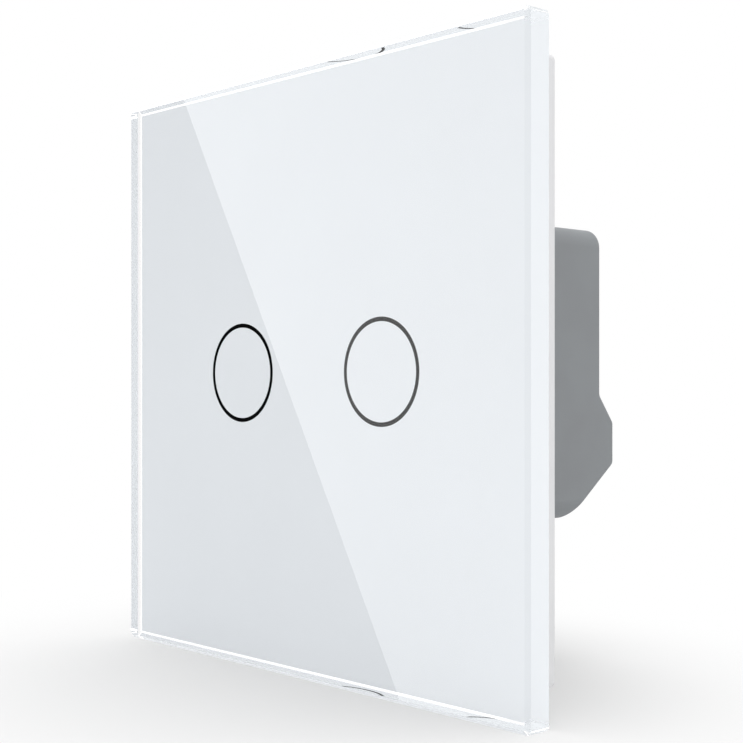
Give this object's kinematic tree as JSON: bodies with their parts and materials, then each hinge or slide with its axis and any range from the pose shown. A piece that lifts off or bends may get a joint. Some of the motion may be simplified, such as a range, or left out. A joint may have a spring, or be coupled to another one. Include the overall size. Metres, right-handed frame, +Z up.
{
  "type": "touch light switch",
  "caption": "Square glass-fronted touch light switch with ring-marked touch spots, a steel wall-box bracket and a grey rear housing with slanted screw terminals.",
  "frame": {"origin": "centre of the bracket's back face, in the plane of the wall", "axes": "+X to the right seen from the front, +Y into the wall box, +Z up"},
  "size_m": [0.08, 0.0393, 0.08],
  "materials": {
    "clear_glass": "toughened float glass, edges ground and polished",
    "white_print": "opaque white screen print on the back of the glass",
    "smoked_ink": "dark translucent ink in the rings",
    "adhesive_foam": "thin double sided foam tape",
    "white_abs": "moulded white ABS, fine satin",
    "zinc_steel": "pressed zinc plated steel sheet",
    "plated_screw": "zinc plated steel screw",
    "insulation_film": "thin insulating film",
    "circuit_board": "glass epoxy board with green solder mask",
    "chip_resin": "moulded black epoxy",
    "spring_wire": "nickel plated spring wire",
    "diffuser": "milky moulded light guide",
    "led_lens": "LED package with yellow phosphor",
    "connector_plastic": "moulded black connector body",
    "tinned_brass": "tinned brass, stamped",
    "relay_plastic": "moulded dark blue relay case",
    "relay_iron": "nickel plated soft iron",
    "bobbin_plastic": "moulded natural bobbin",
    "copper_wire": "enamelled copper winding",
    "film_case": "yellow moulded capacitor case",
    "capacitor_sleeve": "shrunk black sleeve on an aluminium can",
    "ferrite": "sintered ferrite drum",
    "varistor_coat": "dipped blue epoxy",
    "fuse_case": "moulded brown fuse case",
    "cage_steel": "zinc plated steel clamp cage",
    "grey_polycarbonate": "moulded mid grey polycarbonate, fine matt"
  },
  "bodies": {
    "base": {"mounting_bracket": "zinc_steel", "bracket_screws": "plated_screw", "insulation_sheet": "insulation_film", "touch_board": "circuit_board", "touch_chip": "chip_resin", "touch_springs": "spring_wire", "light_rings": "diffuser", "indicator_leds": "led_lens", "touch_cover": "white_abs", "header_block": "connector_plastic", "header_pins": "tinned_brass", "header_socket": "connector_plastic", "power_board": "circuit_board", "relay_bases": "relay_plastic", "relay_cases": "relay_plastic", "relay_yokes": "relay_iron", "relay_bobbins": "bobbin_plastic", "relay_windings": "copper_wire", "relay_pins": "tinned_brass", "relay_contacts": "tinned_brass", "film_capacitor": "film_case", "electrolytic_capacitors": "capacitor_sleeve", "choke_core": "ferrite", "choke_winding": "copper_wire", "varistor": "varistor_coat", "fuse": "fuse_case", "bridge_rectifier": "chip_resin", "control_chip": "chip_resin", "terminal_contacts": "tinned_brass", "rear_housing": "grey_polycarbonate"},
    "front_panel": {"glass_panel": "clear_glass", "back_print": "white_print", "ring_windows": "smoked_ink", "panel_tape": "adhesive_foam", "panel_frame": "white_abs"},
    "armature_left": {"relay_armature_left": "relay_iron"},
    "armature_right": {"relay_armature_right": "relay_iron"},
    "clamp_screw_1": {"terminal_screw_1": "plated_screw"},
    "clamp_cage_1": {"terminal_cage_1": "cage_steel"},
    "clamp_screw_2": {"terminal_screw_2": "plated_screw"},
    "clamp_cage_2": {"terminal_cage_2": "cage_steel"},
    "clamp_screw_3": {"terminal_screw_3": "plated_screw"},
    "clamp_cage_3": {"terminal_cage_3": "cage_steel"}
  },
  "joints": [
    {"name": "panel_pull", "type": "slide", "parent": "base", "child": "front_panel", "axis": [0, -1, 0], "range_m": [0, 0.025]},
    {"name": "clamp_screw_1_turn", "type": "hinge", "parent": "base", "child": "clamp_screw_1", "pos_m": [-0.011, 0.02285, -0.0096], "axis": [0, -0.7934, -0.6088], "range_deg": [0, 1440]},
    {"name": "clamp_cage_1_lift", "type": "slide", "parent": "base", "child": "clamp_cage_1", "axis": [0, 0.7934, 0.6088], "range_m": [0, 0.002]},
    {"name": "clamp_screw_2_turn", "type": "hinge", "parent": "base", "child": "clamp_screw_2", "pos_m": [0, 0.02285, -0.0096], "axis": [0, -0.7934, -0.6088], "range_deg": [0, 1440]},
    {"name": "clamp_cage_2_lift", "type": "slide", "parent": "base", "child": "clamp_cage_2", "axis": [0, 0.7934, 0.6088], "range_m": [0, 0.002]},
    {"name": "clamp_screw_3_turn", "type": "hinge", "parent": "base", "child": "clamp_screw_3", "pos_m": [0.011, 0.02285, -0.0096], "axis": [0, -0.7934, -0.6088], "range_deg": [0, 1440]},
    {"name": "clamp_cage_3_lift", "type": "slide", "parent": "base", "child": "clamp_cage_3", "axis": [0, 0.7934, 0.6088], "range_m": [0, 0.002]},
    {"name": "armature_left_tilt", "type": "hinge", "parent": "base", "child": "armature_left", "pos_m": [-0.0056, 0.0158, -0.002], "axis": [1, 0, 0], "range_deg": [0, 4.4], "stiffness_Nm_per_rad": 0.01, "springref_deg": -3.44},
    {"name": "armature_right_tilt", "type": "hinge", "parent": "base", "child": "armature_right", "pos_m": [0.0056, 0.0158, -0.002], "axis": [1, 0, 0], "range_deg": [0, 4.4], "stiffness_Nm_per_rad": 0.01, "springref_deg": -3.44}
  ],
  "couplings": [
    {"joint": "clamp_screw_1_turn", "follows": "clamp_cage_1_lift", "rad_per_m": 12566},
    {"joint": "clamp_screw_2_turn", "follows": "clamp_cage_2_lift", "rad_per_m": 12566},
    {"joint": "clamp_screw_3_turn", "follows": "clamp_cage_3_lift", "rad_per_m": 12566}
  ]
}
